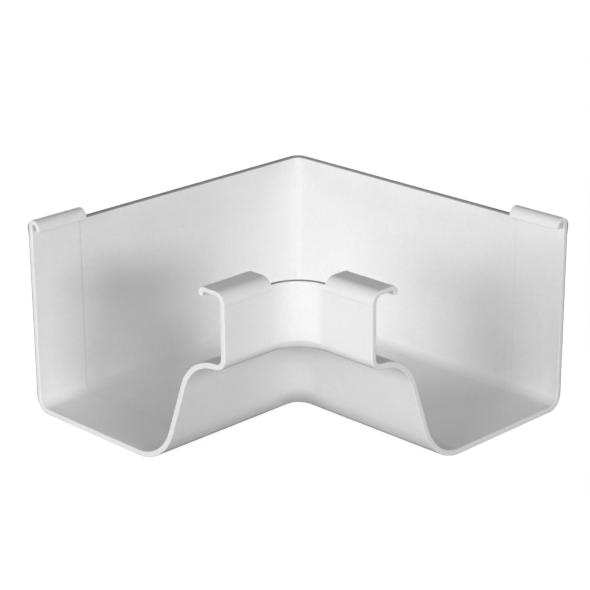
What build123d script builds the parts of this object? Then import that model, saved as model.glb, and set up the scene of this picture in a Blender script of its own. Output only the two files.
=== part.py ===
from build123d import *
import math
import os

os.makedirs("parts", exist_ok=True)

# Driving dimensions of the shell, in millimetres
width = 126.0  # back face to front face
rim_height = 86.4  # sole to the plain rim of each back wall
front_drop = 0.8  # how much lower the two front rims are
wall = 2.5  # shell between the two sockets
socket_wall = wall + 0.1  # the slightly thicker shell of a socket ends in a fine line inside
socket_depth = 27.0  # length of a socket and of the hooks above it
rim_round = 1.1  # both edges of the plain rims
front_corner_radius = 14.0  # where the two front faces meet, seen from above
front_land = 1.0  # straight front between that bend and a socket
reach = width + front_corner_radius + front_land + socket_depth  # outer back corner to each open end

# The ogee front in section, from the sole upwards, with its slopes above the sole in degrees
foot_radius = 25.0
rise_angle = 70.5
rise_length = 25.3
swan_radius = 20.0  # hollow bend under the ledge
ledge_angle = 6.0
ledge_length = 3.05
nose_radius = 5.8
rise_slope = math.radians(rise_angle)
ledge_slope = math.radians(ledge_angle)
foot_run = foot_radius * math.sin(rise_slope) + rise_length * math.cos(rise_slope)
swan_run = swan_radius * (math.sin(rise_slope) - math.sin(ledge_slope))
nose_run = ledge_length * math.cos(ledge_slope) + nose_radius * (1 - math.sin(ledge_slope))
sole_width = width - foot_run - swan_run - nose_run  # back face to the start of the foot bend

# Bends of the plain walls
heel_radius = 7.0  # back wall into sole
back_corner_radius = 6.0  # where the two back walls meet, seen from above
valley_radius = 15.0  # where the two ogee fronts meet below the ledge

lip_round = 0.6  # lower edges of the lips of both hooks

# Rolled hook along the top of each back wall
roll_height = rim_height + 5.1
roll_root = rim_height - 3.4  # where the roll starts to lean out of the plain wall
roll_bulge = 0.6  # how far the roll stands out behind the back face
roll_slot = 2.8  # room for the back edge of the gutter
roll_lip = 2.2
roll_lip_straight = lip_round + 0.2  # straight end of the lip below its bend

# Flat hook along the top of each front
shelf_height = rim_height - front_drop + 2.8
shelf_depth = 15.2
shelf_wall = 2.1
shelf_lip = 2.4
shelf_bend = 5.5
shelf_lip_bend = 3.0
shelf_lip_drop = shelf_lip_bend + lip_round + 0.5  # top of the shelf to the edge of its lip
shelf_corner_radius = 3.0  # inner end of the shelf, seen from above

weld = 2.0  # length of wall that each hook shares with the shell
overcut = 2.0  # cuts run this far past the faces that they open

# A section is drawn with its X as the distance from the back face and its Y as the height
arm_start = Plane(origin=(0, 0, 0), x_dir=(0, -1, 0), z_dir=(-1, 0, 0))
socket_start = arm_start.offset(socket_depth - reach)
mitre = Plane(origin=(0, 0, 0), x_dir=(1, -1, 0), z_dir=(1, 1, 0))


def ogee_section(plane, inset, top):
    """The filled section of an arm, drawn a given inset inside the outer faces."""
    with BuildSketch(plane) as section:
        with BuildLine():
            sole = Line((heel_radius, inset), (sole_width, inset))
            foot = JernArc(sole @ 1, (1, 0), foot_radius - inset, rise_angle)
            rise = PolarLine(foot @ 1, rise_length, rise_angle)
            swan = JernArc(rise @ 1, rise % 1, swan_radius + inset, ledge_angle - rise_angle)
            ledge = PolarLine(swan @ 1, ledge_length, ledge_angle)
            nose = JernArc(ledge @ 1, ledge % 1, nose_radius - inset, 90 - ledge_angle)
            Polyline(nose @ 1, ((nose @ 1).X, top), (inset, top), (inset, heel_radius))
            JernArc((inset, heel_radius), (0, -1), heel_radius - inset, 90)
        make_face()
    return section.sketch


def turned_front(inset, top):
    """The nose and face of the front corner, turned about the centre of the corner's bend."""
    centre = width + front_corner_radius
    turn_start = arm_start.offset(-centre)
    section = ogee_section(turn_start, inset, top)
    with BuildSketch(turn_start) as strip:
        with Locations((width, 0)):
            Rectangle(nose_radius, top, align=(Align.MAX, Align.MIN))
    with BuildPart() as corner:
        revolve(section & strip.sketch, axis=Axis((centre, -centre, 0), (0, 0, 1)), revolution_arc=90)
    return corner.part


def angle_block(inset, overrun, top):
    """Two mitred arms as one filled block, with the corner edges rounded."""
    with BuildPart() as block:
        extrude(ogee_section(arm_start, inset, top), amount=-(reach + overrun))
        split(bisect_by=mitre, keep=Keep.TOP)
        mirror(about=mitre)
        uprights = block.edges().filter_by(Axis.Z).filter_by(lambda edge: mitre.contains(edge.center()))
        fillet(uprights.sort_by(Axis.X)[0], radius=back_corner_radius - inset)
        uprights = block.edges().filter_by(Axis.Z).filter_by(lambda edge: mitre.contains(edge.center()))
        fillet(uprights.sort_by(Axis.X)[-1], radius=valley_radius + inset)
        add(turned_front(inset, top))
    return block.part


def middle_room():
    """The room between the two sockets."""
    with BuildPart() as room:
        add(angle_block(wall, 0, rim_height + overcut))
        split(bisect_by=socket_start, keep=Keep.TOP)
        split(bisect_by=Plane(origin=(0, socket_depth - reach, 0), z_dir=(0, 1, 0)), keep=Keep.TOP)
    return room.part


def front_clearance():
    """The piece of front wall above the root of its hook."""
    with BuildPart() as clearance:
        with BuildSketch(socket_start):
            with Locations((width - socket_wall, shelf_height - shelf_bend)):
                Rectangle(socket_wall + overcut, shelf_bend, align=(Align.MIN, Align.MIN))
        extrude(amount=-(socket_depth + overcut))
    return clearance.part


def back_hook():
    """The rolled hook over the back edge of the gutter, along one socket."""
    roll_radius = (roll_bulge + socket_wall + roll_slot + roll_lip) / 2
    slot_top = roll_height - roll_lip - roll_slot / 2
    lip_front = 2 * roll_radius - roll_bulge
    lip_edge = roll_height - roll_radius - roll_lip_straight
    with BuildPart() as hook:
        with BuildSketch(socket_start):
            with BuildLine():
                back = Line((0, roll_root), (-roll_bulge, roll_height - roll_radius))
                crown = JernArc(back @ 1, (0, 1), roll_radius, -180)
                FilletPolyline(
                    crown @ 1,
                    (lip_front, lip_edge),
                    (lip_front - roll_lip, lip_edge),
                    (lip_front - roll_lip, slot_top),
                    radius=lip_round,
                )
                JernArc((lip_front - roll_lip, slot_top), (0, 1), roll_slot / 2, 180)
                Polyline((socket_wall, slot_top), (socket_wall, roll_root), (0, roll_root))
            make_face()
        extrude(amount=-socket_depth)
    return hook.part


def front_hook():
    """The flat shelf and its turned-down lip over the front edge of the gutter."""
    root = shelf_height - shelf_bend - weld
    underside = shelf_height - shelf_wall
    lip_back = width - shelf_depth
    lip_front = lip_back + shelf_lip
    lip_edge = shelf_height - shelf_lip_drop
    with BuildPart() as hook:
        with BuildSketch(socket_start):
            with BuildLine():
                FilletPolyline(
                    (width, root),
                    (width, shelf_height),
                    (lip_back, shelf_height),
                    (lip_back, lip_edge),
                    (lip_front, lip_edge),
                    (lip_front, underside),
                    (width - socket_wall, underside),
                    (width - socket_wall, root),
                    radius=[
                        shelf_bend,
                        shelf_lip_bend,
                        lip_round,
                        lip_round,
                        shelf_lip_bend - shelf_lip,
                        shelf_bend - socket_wall,
                    ],
                )
                Line((width - socket_wall, root), (width, root))
            make_face()
        extrude(amount=-socket_depth)
        with BuildSketch() as plan:
            with Locations((reach, -lip_back)):
                Rectangle(socket_depth, shelf_depth, align=(Align.MAX, Align.MAX))
            fillet(plan.vertices().group_by(Axis.X)[0].sort_by(Axis.Y)[-1], radius=shelf_corner_radius)
        extrude(amount=shelf_height, mode=Mode.INTERSECT)
    return hook.part


with BuildPart() as gutter_angle:
    add(angle_block(0, 0, rim_height))
    add(angle_block(socket_wall, overcut, rim_height + overcut), mode=Mode.SUBTRACT)
    add(middle_room(), mode=Mode.SUBTRACT)

    # Both front rims are lower than the back ones
    with BuildSketch(Plane.XY.offset(rim_height - front_drop)):
        with Locations((width / 2, -width / 2)):
            Rectangle(reach, reach, align=(Align.MIN, Align.MAX))
    extrude(amount=front_drop + overcut, mode=Mode.SUBTRACT)
    rims = gutter_angle.edges().filter_by_position(Axis.Z, rim_height - front_drop, rim_height)
    rims = rims.filter_by(lambda edge: edge.center().X < reach and edge.center().Y > -reach)
    fillet(rims, radius=rim_round)

    for feature, mode in ((front_clearance(), Mode.SUBTRACT), (back_hook(), Mode.ADD), (front_hook(), Mode.ADD)):
        add(feature, mode=mode)
        add(feature.mirror(mitre), mode=mode)

gutter_angle.part.label = "gutter_angle"
export_step(gutter_angle.part, "parts/gutter_angle.step")
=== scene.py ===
import math

import bpy
from mathutils import Matrix, Vector

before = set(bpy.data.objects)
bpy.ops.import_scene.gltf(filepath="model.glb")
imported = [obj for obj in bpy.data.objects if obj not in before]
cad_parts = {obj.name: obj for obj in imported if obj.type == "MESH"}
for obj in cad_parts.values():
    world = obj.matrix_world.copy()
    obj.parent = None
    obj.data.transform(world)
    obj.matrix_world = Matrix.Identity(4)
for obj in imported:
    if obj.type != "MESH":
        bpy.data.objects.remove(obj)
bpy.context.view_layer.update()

MM = 0.001

# Places on the part. Outward runs along an arm from the outer back corner, inward away from the
# nearer back face, and heights start at the sole
REACH = 168 * MM  # outward, to each open end
SOCKET_START = 141 * MM  # outward, to the inner end of each socket
END_START = REACH - 0.5 * MM  # outward, to the rounded margin of each open end
END_PLANE = REACH - 0.01 * MM  # outward, just inside each end face
BACK_INSIDE = 1 * MM  # inward, between both faces of a back wall
MIDDLE_START = 5 * MM  # inward, clear of the back walls
SOLE_END = 69 * MM  # inward, to the start of the foot bend
NOSE_START = 122.4 * MM  # inward, to the part of the nose that is in view
FRONT = 125.5 * MM  # inward, just inside the front faces
BACK_RIM = 86.4 * MM  # height of the back walls between the sockets
FRONT_RIM = 85.6 * MM
SHELF_TANGENT = 82.9 * MM  # height where the flat hooks start to bend
FOOT_CENTRE = Vector((69.0, 25.0, 0.0)) * MM  # of the foot bend: inward, height
FOOT_SKIN = 24.5 * MM  # from that centre, just inside the outer face

# Softened outline of the two open ends
END_ROUND = 0.45 * MM
END_STEPS = 3
MERGE = 0.002 * MM
FLAT = math.radians(0.5)
SHARP = math.radians(40)

# The photograph's camera, solved from the part's own corners and edges
IMAGE_SIZE = 590
FOCAL_PIXELS = 2042.8
SENSOR = 36.0
CLIP_START = 0.01
CAMERA_PLACE = Vector((0.6887, -0.6876, 0.3688))
CAMERA_DOWN = math.radians(20.147)
CAMERA_TURN = math.radians(45.150)
CAMERA_ROLL = math.radians(-0.325)

# Soft lamps: bearing from the camera, to the right when positive, height, and share of the power
LOW_LAMPS = (
    (30, 14, 0.358),
    (-30, 14, 0.239),
    (-50, 4, 0.192),
    (-30, 4, 0.127),
    (10, 4, 0.125),
    (-70, 4, 0.105),
    (30, 4, 0.096),
    (-50, 14, 0.089),
    (10, 14, 0.059),
    (-100, 4, 0.056),
)
HIGH_LAMPS = (
    (90, 60, 0.098),
    (0, 32, 0.100),
    (-90, 60, 0.060),
)
BACK_LAMPS = (
    (140, 4, 0.600),
    (-140, 4, 0.600),
)
LOW_LAMP_SIZE = (0.55, 0.30)
HIGH_LAMP_SIZE = (0.80, 0.80)
LAMP_POWER = 30.4
LAMP_DISTANCE = 2.0
LAMP_AIM = Vector((0.07, -0.07, 0.04))
LAMP_BEARING = 45  # bearing of the camera's side, in degrees
WORLD_FILL = 0.0  # the lamps alone light the part
WHITE = (1, 1, 1, 1)

FLOOR_HALF = 4.0
FLOOR_TONE = 0.12  # for the light that it sends back to the part
FLOOR_SHOWN = 0.25  # for the shadow that is seen on it
FLOOR_GLOW = 0.93

# Finish
BASE_TONE = 0.90
DRIFT = 0.012
GRAIN = 0.015
BLUE = 0.998
ROUGHNESS = 0.5
ROUGHNESS_SWING = 0.05
SPECULAR = 0.1
PEEL_DEPTH = 0.03 * MM
DRAW_DEPTH = 0.012 * MM
SCRATCH_DEPTH = 0.02 * MM
BEND_GROOVE_DEPTH = 0.03 * MM

# Noises: scale and detail, and the part of their range that is used
DRIFT_NOISE = (28, 3)
GRAIN_NOISE = (650, 2)
MARK_NOISE = (1400, 1)
GLOSS_NOISE = (220, 3)
PEEL_NOISE = (420, 2)
DRAW_NOISE = (500, 1)
WANDER_NOISE = (120, 1)
BREAK_NOISE = (260, 1)
NOISE_RANGE = (0.3, 0.7)
GLOSS_DRAWN = (1.0, 1.0, 0.12)
DRAW_DRAWN = (1.0, 1.0, 0.05)

# Painted shade along edges and bends, darker than the faces beside them: where each painted shade fades,
# and how much of the tone is left
BACK_RIM_FADE = (BACK_RIM - 1.2 * MM, BACK_RIM - 0.4 * MM)
FRONT_RIM_FADE = (FRONT_RIM - 0.4 * MM, FRONT_RIM - 0.13 * MM)
RIM_SHADE = 0.36
ROLL_FADE = (1.4 * MM, 2.8 * MM)  # inward
ROLL_SHADE = 0.65
SHELF_FADE = (112.2 * MM, 114.4 * MM)  # inward
SHELF_LIP = 109.2 * MM  # inward, behind the lip
SHELF_SHADE = 0.7
END_FADE = (0.5 * MM, 0.9 * MM)  # inward
END_SHADE = 0.42
FOOT_FADE = (3.5 * MM, 9.0 * MM)
FOOT_SHADE = 0.34
FOOT_VALLEY = (85 * MM, 110 * MM, 0.2, 1.0)  # outward, and the strength there
NOSE_LOW = 54.0 * MM
NOSE_FADE = (55.4 * MM, 57.0 * MM)
NOSE_SHADE = 0.75
NOSE_TURN = (132 * MM, 142 * MM, 0.4, 1.0)  # outward, and the strength there
HEEL_CENTRE = Vector((3.9, 3.9, 0.0)) * MM  # inward, height
HEEL_FADE = (0.5 * MM, 3.4 * MM)  # from that centre
HEEL_SHADE = 0.96
CORNER_FADE = (3.4 * MM, 7.0 * MM)  # outward
CORNER_SHADE = 0.955

# Fine lines: painted shade below the bend of each flat hook, and a painted shadow line at the inner end of
# each socket
BEND_LINE_FADE = (0.05 * MM, 0.3 * MM)
BEND_LINE_SHADE = 0.93
STEP_FADE = (0.1 * MM, 0.5 * MM)
STEP_HEIGHT = (3 * MM, 9 * MM, 0.5, 1.0)  # height, and the strength there: half on the floor
STEP_SIDES = (80 * MM, 90 * MM)  # between both arms
SOCKET_SHADOW_DARKENING = (0.13, 0.05)  # y arm, x arm

# Small marks on the moulding: place in millimetres, radius, and how much they darken
MARKS = (
    ((2.5, -78.8, 67.4), 0.9, 0.16),
    ((4.7, -104.9, 3.1), 0.8, 0.12),
    ((2.7, -93.8, 5.8), 0.6, 0.08),
    ((2.5, -77.6, 43.3), 0.8, -0.03),
    ((158.4, -98.1, 32.2), 0.6, 0.05),
    ((159.9, -97.2, 29.6), 0.5, 0.05),
)
MARK_RAGGED = 0.6 * MM
MARK_CORE = 0.2 * MM
MARK_MARGIN = 0.3  # added to each radius, in millimetres

# Three curved hairlines low on the ogee of the x arm
SCRATCH_CENTRE = Vector((187.0, -78.0, 42.0)) * MM
SCRATCH_RADII = (45 * MM, 47.2 * MM, 50.5 * MM)
SCRATCH_WANDER = 1.2 * MM
SCRATCH_WIDTH = 0.22 * MM
SCRATCH_LOW = (10 * MM, 14 * MM)
SCRATCH_HIGH = (24 * MM, 29 * MM)
SCRATCH_ALONG = (143 * MM, 147 * MM)
SCRATCH_BREAKS = (0.42, 0.58)
SCRATCH_LEAST = 0.2  # strength left in a break
SCRATCH_SHADE = 0.955


def link(obj):
    bpy.context.scene.collection.objects.link(obj)
    return obj


def add_camera():
    data = bpy.data.cameras.new("camera")
    data.sensor_width = SENSOR
    data.lens = FOCAL_PIXELS / IMAGE_SIZE * SENSOR
    data.clip_start = CLIP_START
    data.dof.use_dof = False
    camera = link(bpy.data.objects.new("camera", data))
    turn = Matrix.Rotation(CAMERA_TURN, 4, "Z")
    tilt = Matrix.Rotation(math.pi / 2 - CAMERA_DOWN, 4, "X")
    roll = Matrix.Rotation(CAMERA_ROLL, 4, "Z")
    camera.matrix_world = Matrix.Translation(CAMERA_PLACE) @ turn @ tilt @ roll
    bpy.context.scene.camera = camera


def add_lamp(azimuth, elevation, power, size):
    """A soft lamp at a bearing from the camera's side, to the right when positive, and a height."""
    turn = math.radians(azimuth - LAMP_BEARING)
    rise = math.radians(elevation)
    away = Vector((math.cos(rise) * math.cos(turn), math.cos(rise) * math.sin(turn), math.sin(rise)))
    data = bpy.data.lights.new("lamp", "AREA")
    data.shape = "RECTANGLE"
    data.size, data.size_y = size
    data.energy = power
    lamp = link(bpy.data.objects.new("lamp", data))
    lamp.location = LAMP_AIM + LAMP_DISTANCE * away
    lamp.rotation_euler = (-away).to_track_quat("-Z", "Y").to_euler()


def ray_is_seen(nodes, links):
    """Camera, glossy and transmission rays see the pale surroundings at full white."""
    paths = nodes.new("ShaderNodeLightPath")
    total = paths.outputs["Is Camera Ray"]
    for name in ("Is Glossy Ray", "Is Transmission Ray"):
        both = nodes.new("ShaderNodeMath")
        both.operation = "MAXIMUM"
        links.new(total, both.inputs[0])
        links.new(paths.outputs[name], both.inputs[1])
        total = both.outputs[0]
    return total


def set_world():
    world = bpy.data.worlds.new("studio")
    bpy.context.scene.world = world
    world.use_nodes = True
    nodes, links = world.node_tree.nodes, world.node_tree.links
    nodes.clear()
    out = nodes.new("ShaderNodeOutputWorld")
    mix = nodes.new("ShaderNodeMixShader")
    fill = nodes.new("ShaderNodeBackground")
    fill.inputs["Strength"].default_value = WORLD_FILL
    white = nodes.new("ShaderNodeBackground")
    white.inputs["Strength"].default_value = 1.0
    for background in (fill, white):
        background.inputs["Color"].default_value = WHITE
    links.new(ray_is_seen(nodes, links), mix.inputs[0])
    links.new(fill.outputs[0], mix.inputs[1])
    links.new(white.outputs[0], mix.inputs[2])
    links.new(mix.outputs[0], out.inputs["Surface"])


def add_floor():
    half = FLOOR_HALF
    mesh = bpy.data.meshes.new("floor")
    corners = [(-half, -half, 0), (half, -half, 0), (half, half, 0), (-half, half, 0)]
    mesh.from_pydata(corners, [], [(0, 1, 2, 3)])
    floor = link(bpy.data.objects.new("floor", mesh))
    material = bpy.data.materials.new("floor")
    material.use_nodes = True
    nodes, links = material.node_tree.nodes, material.node_tree.links
    nodes.clear()
    out = nodes.new("ShaderNodeOutputMaterial")
    bounce = nodes.new("ShaderNodeBsdfDiffuse")
    bounce.inputs["Color"].default_value = (FLOOR_TONE, FLOOR_TONE, FLOOR_TONE, 1)
    shown = nodes.new("ShaderNodeBsdfDiffuse")
    shown.inputs["Color"].default_value = (FLOOR_SHOWN, FLOOR_SHOWN, FLOOR_SHOWN, 1)
    glow = nodes.new("ShaderNodeEmission")
    glow.inputs["Strength"].default_value = FLOOR_GLOW
    both = nodes.new("ShaderNodeAddShader")
    mix = nodes.new("ShaderNodeMixShader")
    links.new(shown.outputs[0], both.inputs[0])
    links.new(glow.outputs[0], both.inputs[1])
    links.new(ray_is_seen(nodes, links), mix.inputs[0])
    links.new(bounce.outputs[0], mix.inputs[1])
    links.new(both.outputs[0], mix.inputs[2])
    links.new(mix.outputs[0], out.inputs["Surface"])
    mesh.materials.append(material)


class Graph:
    """Short names for the nodes that a material or a modifier needs."""

    def __init__(self, tree):
        self.nodes = tree.nodes
        self.links = tree.links

    def feed(self, socket, value):
        if isinstance(value, bpy.types.NodeSocket):
            self.links.new(value, socket)
        else:
            socket.default_value = value

    def math(self, operation, first, second):
        node = self.nodes.new("ShaderNodeMath")
        node.operation = operation
        self.feed(node.inputs[0], first)
        self.feed(node.inputs[1], second)
        return node.outputs[0]

    def multiply(self, first, *others):
        for other in others:
            first = self.math("MULTIPLY", first, other)
        return first

    def off(self, value, line):
        """The distance of a value from a line."""
        return self.math("ABSOLUTE", self.math("SUBTRACT", value, line), 0.0)

    def fade(self, value, low, high, to_low, to_high):
        """A value between two limits, mapped smoothly to two others."""
        node = self.nodes.new("ShaderNodeMapRange")
        node.interpolation_type = "SMOOTHSTEP"
        self.feed(node.inputs["Value"], value)
        node.inputs["From Min"].default_value = low
        node.inputs["From Max"].default_value = high
        node.inputs["To Min"].default_value = to_low
        node.inputs["To Max"].default_value = to_high
        return node.outputs["Result"]

    def above(self, value, limits):
        return self.fade(value, *limits, 0.0, 1.0)

    def below(self, value, limits):
        return self.fade(value, *limits, 1.0, 0.0)

    def shade(self, tone, mask, left):
        """A tone of which only a share is left where the mask is full."""
        return self.multiply(tone, self.fade(mask, 0.0, 1.0, 1.0, left))

    def distance(self, place, point):
        node = self.nodes.new("ShaderNodeVectorMath")
        node.operation = "DISTANCE"
        self.feed(node.inputs[0], place)
        node.inputs[1].default_value = point
        return node.outputs["Value"]

    def stretch(self, place, scale):
        node = self.nodes.new("ShaderNodeVectorMath")
        node.operation = "MULTIPLY"
        self.feed(node.inputs[0], place)
        node.inputs[1].default_value = scale
        return node.outputs["Vector"]

    def noise(self, place, scale_and_detail):
        node = self.nodes.new("ShaderNodeTexNoise")
        self.feed(node.inputs["Vector"], place)
        node.inputs["Scale"].default_value, node.inputs["Detail"].default_value = scale_and_detail
        return node.outputs["Fac"]

    def split(self, place):
        node = self.nodes.new("ShaderNodeSeparateXYZ")
        self.feed(node.inputs[0], place)
        return node.outputs

    def arm_places(self, place):
        """How far outward, inward and up a place lies, the same for both arms."""
        x, y, z = self.split(place)
        back = self.math("MULTIPLY", y, -1.0)
        return self.math("MAXIMUM", x, back), self.math("MINIMUM", x, back), z


def moulded_tone(graph, place):
    """A slow drift in tone and a fine grain, darker where a mark lies."""
    tone = graph.fade(graph.noise(place, DRIFT_NOISE), *NOISE_RANGE, BASE_TONE - DRIFT, BASE_TONE + DRIFT)
    grain = graph.fade(graph.noise(place, GRAIN_NOISE), *NOISE_RANGE, 1 - GRAIN, 1 + GRAIN)
    tone = graph.multiply(tone, grain)
    for spot, radius, darkening in MARKS:
        near = graph.distance(place, Vector(spot) * MM)
        ragged = graph.math("ADD", near, graph.multiply(graph.noise(place, MARK_NOISE), MARK_RAGGED))
        rest = graph.fade(ragged, MARK_CORE, (radius + MARK_MARGIN) * MM, 1 - darkening, 1.0)
        tone = graph.multiply(tone, rest)
    return tone


def painted_edge_shade(graph, place, tone):
    """Painted shade along the rims, hooks, open ends, noses and feet, and inside along the heel and in the
    back corner.
    """
    outward, inward, z = graph.arm_places(place)
    before_end = graph.math("LESS_THAN", outward, END_START)

    # Painted shade on the rim tops between the sockets, which face up, away from the lamps
    between = graph.math("LESS_THAN", outward, SOCKET_START)
    at_front = graph.math("GREATER_THAN", inward, MIDDLE_START)
    front_rim = graph.multiply(graph.above(z, FRONT_RIM_FADE), at_front)
    rims = graph.multiply(between, graph.math("MAXIMUM", graph.above(z, BACK_RIM_FADE), front_rim))
    tone = graph.shade(tone, rims, RIM_SHADE)

    # Painted shade along the crown of each rolled hook
    over_rim = graph.math("GREATER_THAN", z, BACK_RIM)
    rolls = graph.multiply(graph.below(inward, ROLL_FADE), over_rim, before_end)
    tone = graph.shade(tone, rolls, ROLL_SHADE)

    # Painted shade along the back edge of the flat hooks' tops
    shelves = graph.multiply(graph.below(inward, SHELF_FADE), graph.math("GREATER_THAN", z, SHELF_TANGENT))
    shelves = graph.multiply(shelves, graph.math("GREATER_THAN", inward, SHELF_LIP), before_end)
    tone = graph.shade(tone, shelves, SHELF_SHADE)

    # Painted dark outline along the outer edge of both end faces
    at_end = graph.math("SUBTRACT", 1.0, before_end)
    tone = graph.shade(tone, graph.multiply(at_end, graph.below(inward, END_FADE)), END_SHADE)

    # Painted shade on the foot bend where it turns under towards the floor, weaker in the valley at the
    # mitre
    section = graph.nodes.new("ShaderNodeCombineXYZ")
    graph.feed(section.inputs[0], inward)
    graph.feed(section.inputs[1], z)
    skin = graph.math("GREATER_THAN", graph.distance(section.outputs[0], FOOT_CENTRE), FOOT_SKIN)
    past_sole = graph.math("GREATER_THAN", inward, SOLE_END)
    feet = graph.multiply(skin, graph.below(z, FOOT_FADE), before_end, past_sole)
    feet = graph.multiply(feet, graph.fade(outward, *FOOT_VALLEY))
    tone = graph.shade(tone, feet, FOOT_SHADE)

    # Painted shade along the lower contour of the noses, weaker where the nose turns the corner
    noses = graph.multiply(graph.below(z, NOSE_FADE), graph.math("GREATER_THAN", z, NOSE_LOW))
    noses = graph.multiply(noses, graph.math("GREATER_THAN", inward, NOSE_START), before_end)
    noses = graph.multiply(noses, graph.fade(outward, *NOSE_TURN))
    tone = graph.shade(tone, noses, NOSE_SHADE)

    # Inside, painted shade along the heel bend, and painted shade in the back corner that dims its
    # highlight
    heels = graph.below(graph.distance(section.outputs[0], HEEL_CENTRE), HEEL_FADE)
    tone = graph.shade(tone, graph.multiply(heels, before_end), HEEL_SHADE)
    return graph.shade(tone, graph.below(outward, CORNER_FADE), CORNER_SHADE)


def socket_end_shadow(graph, place):
    """Painted shadow at the inner end of each socket: a fine darker line across the back wall and the
    floor, stronger on the y arm than on the x arm.
    """
    outward, inward, z = graph.arm_places(place)
    line = graph.multiply(
        graph.below(graph.off(outward, SOCKET_START), STEP_FADE),
        graph.fade(z, *STEP_HEIGHT),
        graph.math("GREATER_THAN", inward, BACK_INSIDE),
        graph.math("GREATER_THAN", z, BACK_INSIDE),
        graph.math("LESS_THAN", inward, SOLE_END),
    )
    strength = graph.fade(graph.split(place)["X"], *STEP_SIDES, *SOCKET_SHADOW_DARKENING)
    return graph.math("SUBTRACT", 1.0, graph.multiply(line, strength))


def bend_lines(graph, place):
    """The line below the bend of each flat hook, given as a mask for painted shade and a shallow groove.
    """
    outward, inward, z = graph.arm_places(place)
    line = graph.below(graph.off(z, SHELF_TANGENT), BEND_LINE_FADE)
    line = graph.multiply(line, graph.math("GREATER_THAN", outward, SOCKET_START))
    return graph.multiply(line, graph.math("GREATER_THAN", inward, FRONT))


def scratches(graph, place):
    """The faint curved hairlines, given as a mask."""
    out_there = graph.distance(place, SCRATCH_CENTRE)
    wander = graph.multiply(graph.noise(place, WANDER_NOISE), SCRATCH_WANDER)
    bent = graph.math("ADD", out_there, wander)
    total = 0.0
    for radius in SCRATCH_RADII:
        line = graph.fade(graph.off(bent, radius), 0.0, SCRATCH_WIDTH, 1.0, 0.0)
        total = graph.math("MAXIMUM", total, line)
    x, y, z = graph.split(place)
    return graph.multiply(
        total,
        graph.above(z, SCRATCH_LOW),
        graph.below(z, SCRATCH_HIGH),
        graph.above(x, SCRATCH_ALONG),
        graph.fade(graph.noise(place, BREAK_NOISE), *SCRATCH_BREAKS, SCRATCH_LEAST, 1.0),
    )


def upvc():
    """White moulded plastic: even and half glossy, with a fine skin, draw lines and a few small marks, and
    painted shade along edges, bends and fine lines.
    """
    material = bpy.data.materials.new("upvc")
    material.use_nodes = True
    graph = Graph(material.node_tree)
    shader = graph.nodes["Principled BSDF"]
    place = graph.nodes.new("ShaderNodeTexCoord").outputs["Object"]
    bend_line = bend_lines(graph, place)
    hairlines = scratches(graph, place)

    tone = painted_edge_shade(graph, place, moulded_tone(graph, place))
    # Painted shade below the bend of each flat hook
    tone = graph.shade(tone, bend_line, BEND_LINE_SHADE)
    # Painted shadow line at the inner end of each socket
    tone = graph.multiply(tone, socket_end_shadow(graph, place))
    tone = graph.shade(tone, hairlines, SCRATCH_SHADE)
    colour = graph.nodes.new("ShaderNodeCombineColor")
    graph.feed(colour.inputs[0], tone)
    graph.feed(colour.inputs[1], tone)
    graph.feed(colour.inputs[2], graph.multiply(tone, BLUE))
    graph.feed(shader.inputs["Base Color"], colour.outputs[0])

    # Gloss is uneven along the draw of the mould
    streaks = graph.noise(graph.stretch(place, GLOSS_DRAWN), GLOSS_NOISE)
    rough = graph.fade(streaks, *NOISE_RANGE, ROUGHNESS - ROUGHNESS_SWING, ROUGHNESS + ROUGHNESS_SWING)
    graph.feed(shader.inputs["Roughness"], rough)
    shader.inputs["Specular IOR Level"].default_value = SPECULAR

    # Skin: orange peel, draw lines, scratches and a shallow groove below the bend of each flat hook
    peel = graph.multiply(graph.noise(place, PEEL_NOISE), PEEL_DEPTH)
    draw = graph.multiply(graph.noise(graph.stretch(place, DRAW_DRAWN), DRAW_NOISE), DRAW_DEPTH)
    height = graph.math("ADD", peel, draw)
    height = graph.math("SUBTRACT", height, graph.multiply(hairlines, SCRATCH_DEPTH))
    height = graph.math("SUBTRACT", height, graph.multiply(bend_line, BEND_GROOVE_DEPTH))
    bump = graph.nodes.new("ShaderNodeBump")
    bump.inputs["Strength"].default_value = 1.0
    bump.inputs["Distance"].default_value = 1.0
    graph.feed(bump.inputs["Height"], height)
    graph.feed(shader.inputs["Normal"], bump.outputs["Normal"])
    return material


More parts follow.
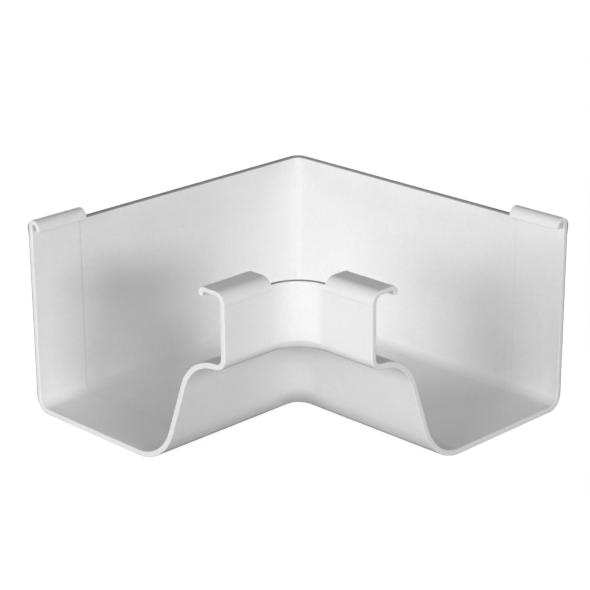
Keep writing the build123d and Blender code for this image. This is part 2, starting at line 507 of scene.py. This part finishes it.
def edge_group(name, attribute, data_type):
    """A modifier group that stores one attribute on the edges, ready for its value."""
    group = bpy.data.node_groups.new(name, "GeometryNodeTree")
    for way in ("INPUT", "OUTPUT"):
        group.interface.new_socket("Mesh", in_out=way, socket_type="NodeSocketGeometry")
    graph = Graph(group)
    store = graph.nodes.new("GeometryNodeStoreNamedAttribute")
    store.data_type = data_type
    store.domain = "EDGE"
    store.inputs["Name"].default_value = attribute
    angle = graph.nodes.new("GeometryNodeInputMeshEdgeAngle").outputs["Unsigned Angle"]
    is_sharp = graph.math("GREATER_THAN", angle, SHARP)
    graph.feed(store.inputs["Geometry"], graph.nodes.new("NodeGroupInput").outputs[0])
    graph.feed(graph.nodes.new("NodeGroupOutput").inputs[0], store.outputs[0])
    return graph, group, store.inputs["Value"], is_sharp


def end_outline():
    """Marks the sharp outline of both open ends, for the bevel that follows."""
    graph, group, value, is_sharp = edge_group("end_outline", "bevel_weight_edge", "FLOAT")
    place = graph.nodes.new("GeometryNodeInputPosition").outputs[0]
    outward = graph.arm_places(place)[0]
    at_end = graph.math("GREATER_THAN", outward, END_PLANE)
    graph.feed(value, graph.multiply(at_end, is_sharp))
    return group


def creases():
    """Keeps every remaining sharp edge sharp in the shading."""
    graph, group, value, is_sharp = edge_group("creases", "sharp_edge", "BOOLEAN")
    graph.feed(value, is_sharp)
    return group


def soften_ends(part):
    """Rounds the outline of both open ends with modifiers, and leaves the mesh as it is."""
    weld = part.modifiers.new("weld", "WELD")
    weld.merge_threshold = MERGE
    flat = part.modifiers.new("flat", "DECIMATE")
    flat.decimate_type = "DISSOLVE"
    flat.angle_limit = FLAT
    outline = part.modifiers.new("outline", "NODES")
    outline.node_group = end_outline()
    rounded = part.modifiers.new("rounded", "BEVEL")
    rounded.limit_method = "WEIGHT"
    rounded.width = END_ROUND
    rounded.segments = END_STEPS
    rounded.use_clamp_overlap = False
    sharp = part.modifiers.new("sharp", "NODES")
    sharp.node_group = creases()
    even = part.modifiers.new("even", "WEIGHTED_NORMAL")
    even.keep_sharp = True


bpy.context.scene.view_settings.view_transform = "Standard"

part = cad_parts["gutter_angle"]
part.data.materials.clear()
part.data.materials.append(upvc())
soften_ends(part)

add_camera()
set_world()
for lamps, size in ((LOW_LAMPS, LOW_LAMP_SIZE), (HIGH_LAMPS, HIGH_LAMP_SIZE), (BACK_LAMPS, LOW_LAMP_SIZE)):
    for azimuth, elevation, share in lamps:
        add_lamp(azimuth, elevation, share * LAMP_POWER, size)
add_floor()
